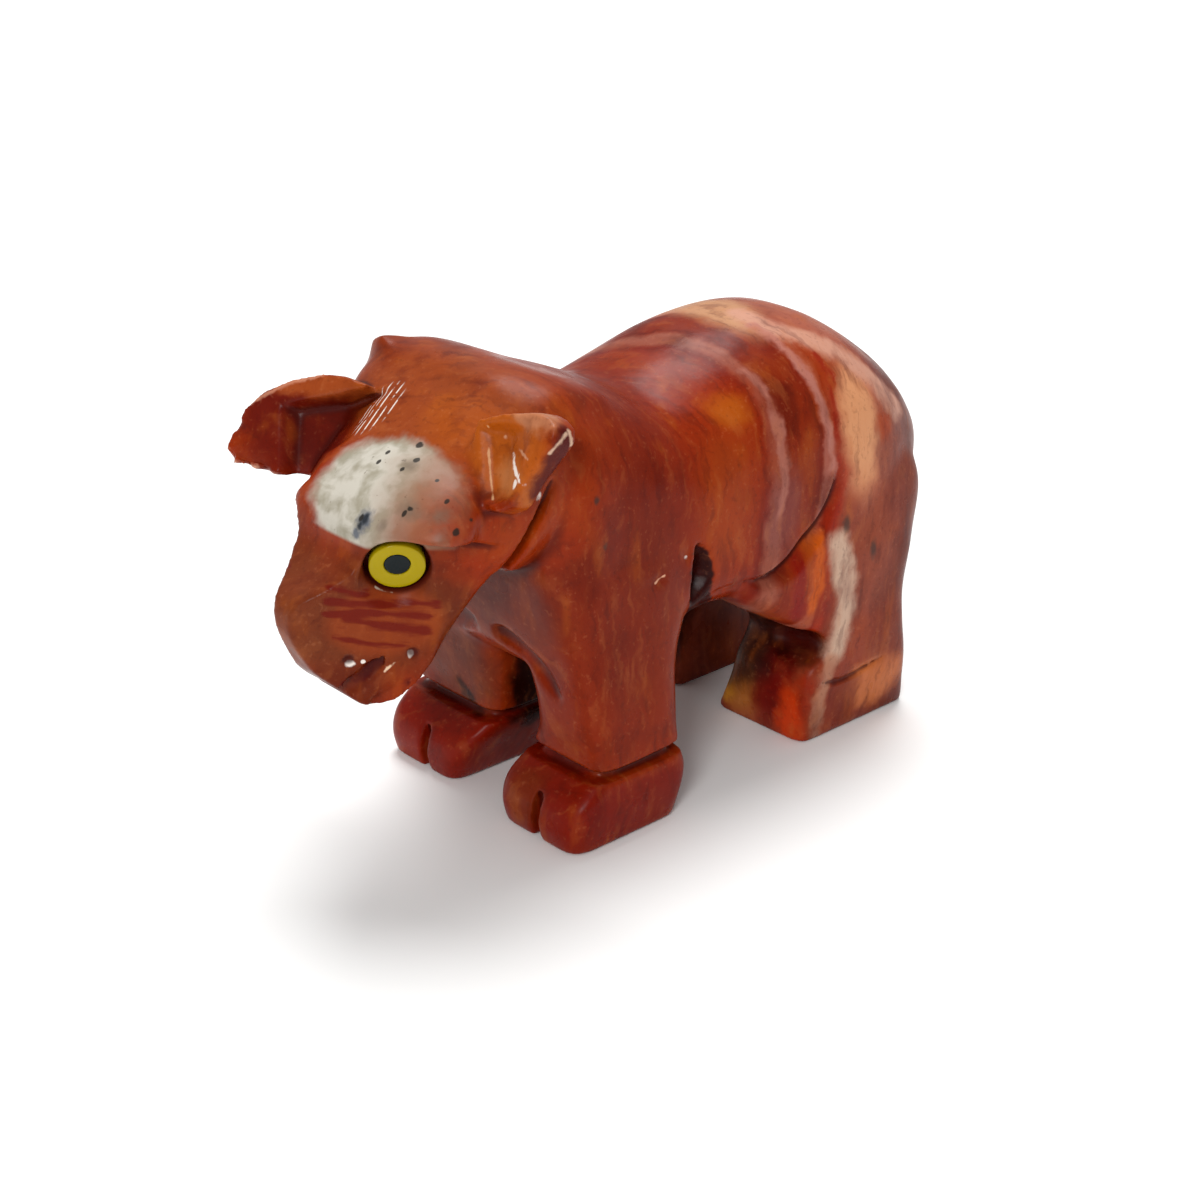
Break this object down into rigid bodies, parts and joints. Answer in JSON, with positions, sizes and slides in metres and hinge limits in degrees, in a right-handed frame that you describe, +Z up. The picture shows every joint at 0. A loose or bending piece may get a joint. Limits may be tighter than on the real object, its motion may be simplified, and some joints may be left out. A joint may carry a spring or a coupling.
{
  "type": "carved stone calf figurine",
  "caption": "Small polished soapstone calf with lowered head, side-swept ears, cloven hooves and inlaid round eyes.",
  "frame": {"origin": "on the ground, under the middle of the figure's bounding box", "axes": "+Z up, the animal faces -Y, its left side is +X"},
  "size_m": [0.0256, 0.0518, 0.0309],
  "materials": {
    "soapstone": "red-brown banded soapstone, hand filed, sanded and waxed to a soft polish",
    "eye_yellow": "glossy yellow resin sleeve of the eye inlay",
    "eye_black": "glossy blue-black resin core of the eye inlay"
  },
  "bodies": {
    "root": {"stone_body": "soapstone", "eye_left": "eye_yellow", "eye_right": "eye_yellow", "pupil_left": "eye_black", "pupil_right": "eye_black"}
  },
  "joints": []
}
